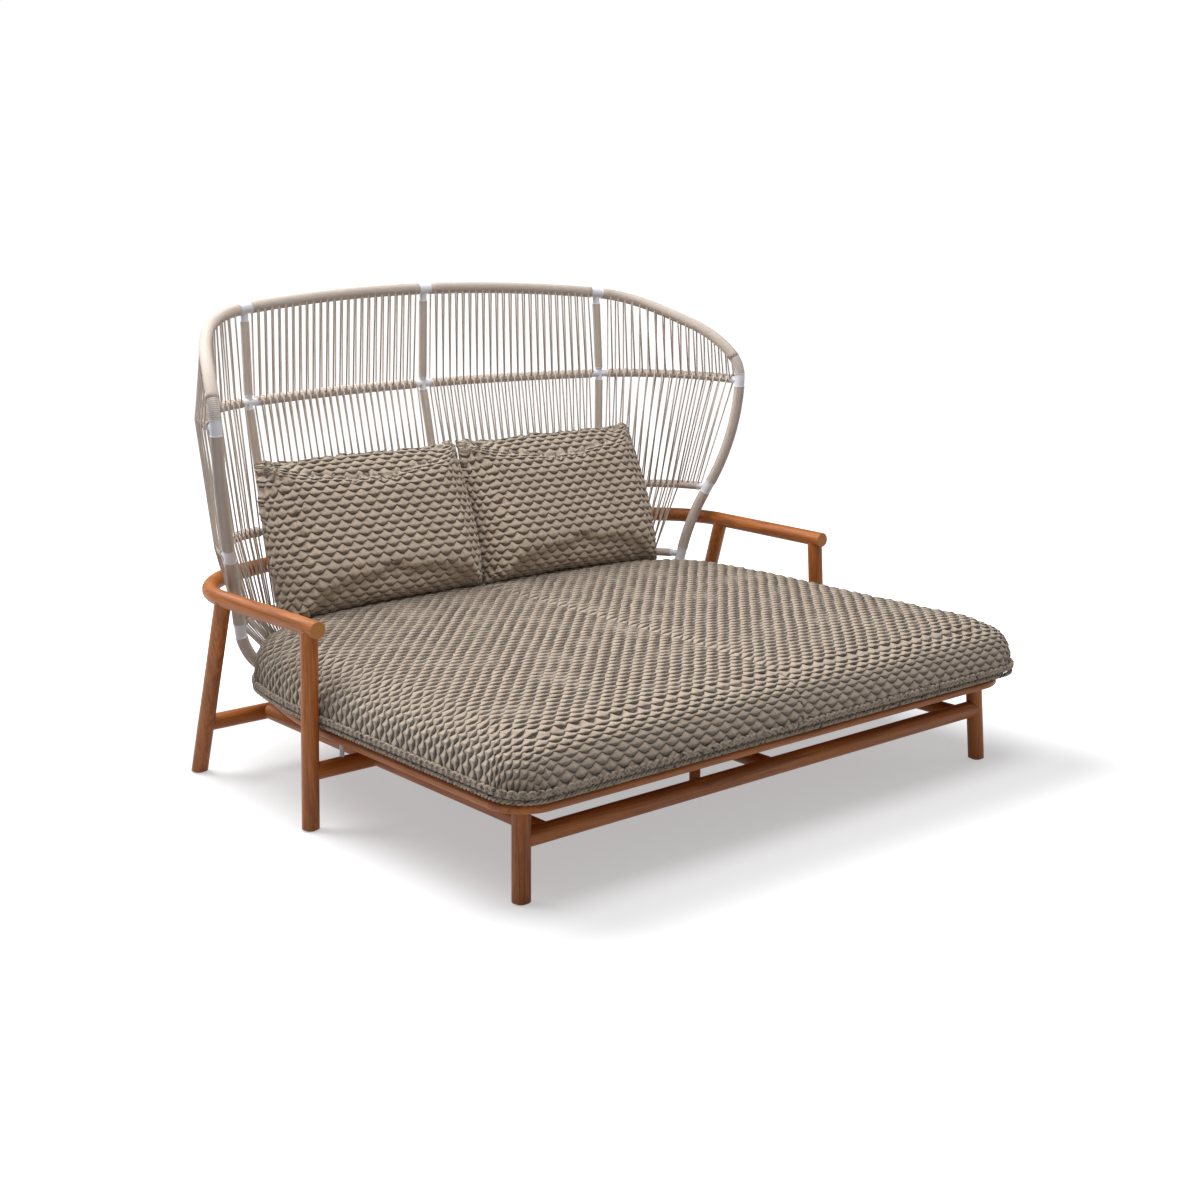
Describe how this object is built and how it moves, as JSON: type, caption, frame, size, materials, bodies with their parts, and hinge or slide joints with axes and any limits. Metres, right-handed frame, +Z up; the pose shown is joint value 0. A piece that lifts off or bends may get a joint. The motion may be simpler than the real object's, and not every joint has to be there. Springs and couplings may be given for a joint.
{
  "type": "daybed",
  "caption": "Teak outdoor daybed with round legs and arm rail, a strung cord back on a white tube frame, a deep seat cushion and loose back cushions.",
  "frame": {"origin": "on the floor under the middle of the whole daybed's box", "axes": "+Z up, the open front faces -Y, +X to the right seen from the front"},
  "size_m": [1.9256, 1.688, 1.3204],
  "materials": {
    "teak": "oiled satin",
    "teak_slats": "sanded",
    "white_metal": "satin",
    "cord": "matt",
    "cord_wrap": "matt",
    "cushion_fabric": "matt",
    "glide": "matt"
  },
  "bodies": {
    "frame": {"arm_front_leg_left": "teak", "arm_front_leg_right": "teak", "arm_rail_left": "teak", "arm_rail_rear": "teak", "arm_rail_right": "teak", "arm_rear_leg_left": "teak", "arm_rear_leg_right": "teak", "back_bottom_rail_bays": "white_metal", "back_bottom_rail_wing_left": "white_metal", "back_bottom_rail_wing_right": "white_metal", "back_bottom_tube": "white_metal", "back_edge_tube_left": "white_metal", "back_edge_tube_right": "white_metal", "back_feet": "white_metal", "back_lower_rail_bays": "white_metal", "back_lower_rail_wing_left": "white_metal", "back_lower_rail_wing_right": "white_metal", "back_lugs": "white_metal", "back_mid_rail_bays": "white_metal", "back_mid_rail_wing_left": "white_metal", "back_mid_rail_wing_right": "white_metal", "back_rib_left": "white_metal", "back_rib_middle": "white_metal", "back_rib_right": "white_metal", "back_top_tube": "white_metal", "centre_leg": "teak", "centre_rail": "teak", "cord_bay_left": "cord", "cord_bay_right": "cord", "cord_wing_left": "cord", "cord_wing_right": "cord", "cross_rail_inner_left": "teak", "cross_rail_inner_right": "teak", "cross_rail_outer_left": "teak", "cross_rail_outer_right": "teak", "front_leg_left": "teak", "front_leg_right": "teak", "front_stretcher": "teak", "leg_glides": "glide", "rear_cross_rail": "teak", "seat_ring_front": "teak", "seat_ring_rear": "teak", "seat_ring_side_left": "teak", "seat_ring_side_right": "teak", "seat_slats": "teak_slats", "side_rail_left": "teak", "side_rail_right": "teak", "slat_bearers": "teak_slats", "spacer_posts": "white_metal", "wrap_bottom": "cord_wrap", "wrap_bottom_rail": "cord_wrap", "wrap_edge_left": "cord_wrap", "wrap_edge_right": "cord_wrap", "wrap_lower_rail": "cord_wrap", "wrap_mid_rail": "cord_wrap", "wrap_ribs": "cord_wrap", "wrap_top": "cord_wrap"},
    "seat_cushion_body": {"seat_cushion": "cushion_fabric"},
    "back_cushion_left_body": {"back_cushion_left": "cushion_fabric"},
    "back_cushion_right_body": {"back_cushion_right": "cushion_fabric"}
  },
  "joints": [
    {"name": "seat_cushion_slide", "type": "slide", "parent": "frame", "child": "seat_cushion_body", "axis": [0, -1, 0], "range_m": [0, 0.7]},
    {"name": "back_cushion_left_slide", "type": "slide", "parent": "seat_cushion_body", "child": "back_cushion_left_body", "axis": [0, -0.5, 0.866], "range_m": [0, 0.5]},
    {"name": "back_cushion_right_slide", "type": "slide", "parent": "seat_cushion_body", "child": "back_cushion_right_body", "axis": [0, -0.5, 0.866], "range_m": [0, 0.5]}
  ]
}
